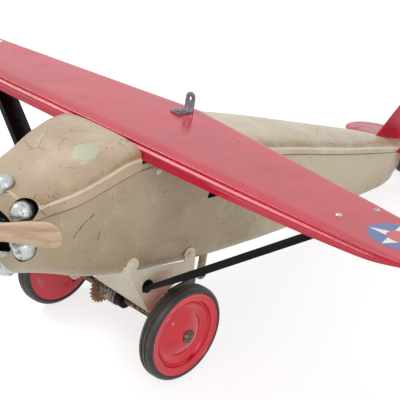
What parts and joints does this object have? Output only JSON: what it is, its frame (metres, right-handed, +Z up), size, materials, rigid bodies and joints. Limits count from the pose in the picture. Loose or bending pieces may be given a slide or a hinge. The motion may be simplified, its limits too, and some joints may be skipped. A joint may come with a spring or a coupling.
{
  "type": "toy monoplane",
  "caption": "Pressed-steel toy monoplane with a wooden propeller, strut-braced wing, turning wheels and a clicker on its axle.",
  "frame": {"origin": "bottom centre of the bounding box, on the floor that the three wheels stand on", "axes": "+X along the wing to port, +Y aft along the fuselage, +Z up"},
  "size_m": [0.59, 0.5648, 0.1998],
  "materials": {
    "khaki_enamel": "satin",
    "crimson_enamel": "gloss",
    "wheel_enamel": "gloss",
    "black_enamel": "gloss",
    "tyre_rubber": "satin",
    "nickel_plate": "polished",
    "zinc_plate": "satin",
    "bare_steel": "worn",
    "rusty_steel": "rusty",
    "blade_wood": "bare",
    "brown_enamel": "satin",
    "pale_fibre": "matte"
  },
  "bodies": {
    "airframe": {"fuselage_hull": "khaki_enamel", "engine_hood": "khaki_enamel", "turtle_deck": "khaki_enamel", "cylinder_heads": "nickel_plate", "crankcase_plate": "black_enamel", "shaft_bearing": "zinc_plate", "wing_panel": "crimson_enamel", "wing_support_front": "bare_steel", "wing_support_rear": "bare_steel", "support_rivets": "khaki_enamel", "hanging_bracket": "zinc_plate", "wing_bolt": "zinc_plate", "wing_nut": "zinc_plate", "gear_leg_port": "khaki_enamel", "gear_leg_starboard": "khaki_enamel", "gear_rivets": "khaki_enamel", "strut_port": "black_enamel", "strut_starboard": "black_enamel", "strut_eyelets": "nickel_plate", "strut_bolts": "black_enamel", "gear_brace_port": "black_enamel", "gear_brace_starboard": "black_enamel", "brace_spacers": "pale_fibre", "brace_bolts": "zinc_plate", "clicker_reed": "zinc_plate", "reed_rivet": "khaki_enamel", "tailplane": "crimson_enamel", "tail_fin": "crimson_enamel", "tail_rivets": "crimson_enamel", "tail_fork": "brown_enamel", "tail_pin": "bare_steel"},
    "axle_set": {"main_axle": "bare_steel", "axle_sleeve": "bare_steel", "axle_collar": "black_enamel", "star_wheel": "rusty_steel", "wheel_disc_port": "wheel_enamel", "wheel_disc_starboard": "wheel_enamel", "wheel_backing_port": "wheel_enamel", "wheel_backing_starboard": "wheel_enamel", "tyre_port": "tyre_rubber", "tyre_starboard": "tyre_rubber", "hub_nut_port": "bare_steel", "hub_nut_starboard": "bare_steel"},
    "propeller_set": {"propeller": "blade_wood", "propeller_shaft": "bare_steel", "shaft_collar": "zinc_plate", "propeller_spacer": "zinc_plate", "propeller_washer": "nickel_plate", "propeller_nut": "nickel_plate"},
    "tail_roller": {"tail_wheel": "tyre_rubber"}
  },
  "joints": [
    {"name": "axle_spin", "type": "hinge", "parent": "airframe", "child": "axle_set", "pos_m": [0, -0.14067, 0.04], "axis": [1, 0, 0], "continuous": true},
    {"name": "propeller_spin", "type": "hinge", "parent": "airframe", "child": "propeller_set", "pos_m": [0, -0.26501, 0.15491], "axis": [0, -0.9744, 0.225], "continuous": true},
    {"name": "tail_wheel_spin", "type": "hinge", "parent": "airframe", "child": "tail_roller", "pos_m": [0, 0.25312, 0.012], "axis": [1, 0, 0], "continuous": true}
  ]
}
